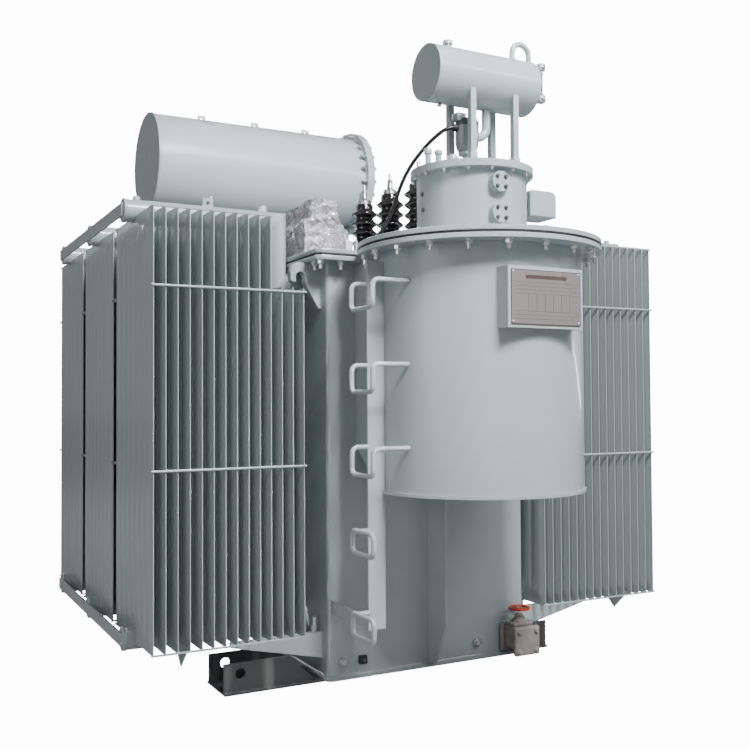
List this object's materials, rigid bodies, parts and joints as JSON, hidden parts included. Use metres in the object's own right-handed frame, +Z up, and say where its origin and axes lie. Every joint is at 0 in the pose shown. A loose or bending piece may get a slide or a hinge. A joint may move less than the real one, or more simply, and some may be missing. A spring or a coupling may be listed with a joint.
{
  "type": "power transformer",
  "caption": "Oil-filled power transformer: tank with radiator banks, round tap changer pocket and head at the front, two conservators, bushings and a drain valve.",
  "frame": {"origin": "on the ground under the middle of the tank", "axes": "+Z up, -Y to the front with the tap changer pocket, +X to the right"},
  "size_m": [2.475, 2.966, 2.734],
  "materials": {
    "tank_paint": "light grey-green enamel, satin",
    "radiator_paint": "grey-green enamel, satin",
    "skid_paint": "dark grey enamel, satin",
    "gasket": "black oil-proof rubber",
    "nameplate": "etched stainless plate, left blank",
    "valve_body": "taupe-grey primer on cast iron",
    "handwheel": "red gloss enamel",
    "zinc": "zinc-plated steel",
    "relay_paint": "grey enamel on a casting",
    "cable": "black sheath",
    "porcelain": "brown glaze",
    "film": "clear packing film, crinkled"
  },
  "bodies": {
    "transformer": {"base_plate": "tank_paint", "base_skids": "skid_paint", "tank": "tank_paint", "tank_flange": "tank_paint", "cover_gasket": "gasket", "cover_plate": "tank_paint", "tap_changer_pocket": "tank_paint", "pocket_bottom": "tank_paint", "pocket_rib": "tank_paint", "ladder_stringer": "tank_paint", "ladder_rungs": "tank_paint", "lifting_hooks": "tank_paint", "nameplate_box": "tank_paint", "nameplate": "nameplate", "drain_valve_body": "valve_body", "drain_valve_bonnet": "valve_body", "front_plugs": "zinc", "radiator_brackets": "tank_paint", "head_drum": "tank_paint", "head_cover": "tank_paint", "head_blank_flanges": "tank_paint", "head_drive_box": "tank_paint", "small_conservator": "tank_paint", "small_conservator_posts": "tank_paint", "breather_pipe": "zinc", "level_gauge": "zinc", "gas_relay": "relay_paint", "relay_pipes": "tank_paint", "relay_cable": "cable", "main_conservator": "tank_paint", "main_end_plate": "tank_paint", "main_end_cover": "tank_paint", "main_supports": "tank_paint", "main_oil_pipe": "tank_paint", "hv_clamp_rings": "zinc", "hv_porcelain": "porcelain", "hv_terminals": "zinc", "lv_wrapped_row": "film", "lid_fittings": "zinc", "radiator_left_front": "radiator_paint", "radiator_left_middle": "radiator_paint", "radiator_left_rear": "radiator_paint", "radiator_right_front": "radiator_paint", "radiator_right_middle": "radiator_paint", "radiator_right_rear": "radiator_paint", "radiator_valves": "radiator_paint", "radiator_tie_bars": "radiator_paint"},
    "handwheel": {"drain_handwheel": "handwheel"}
  },
  "joints": [
    {"name": "drain_valve_turn", "type": "hinge", "parent": "transformer", "child": "handwheel", "pos_m": [0.405, -0.9375, 0.208], "axis": [0, 0, 1], "range_deg": [0, 1530]}
  ]
}
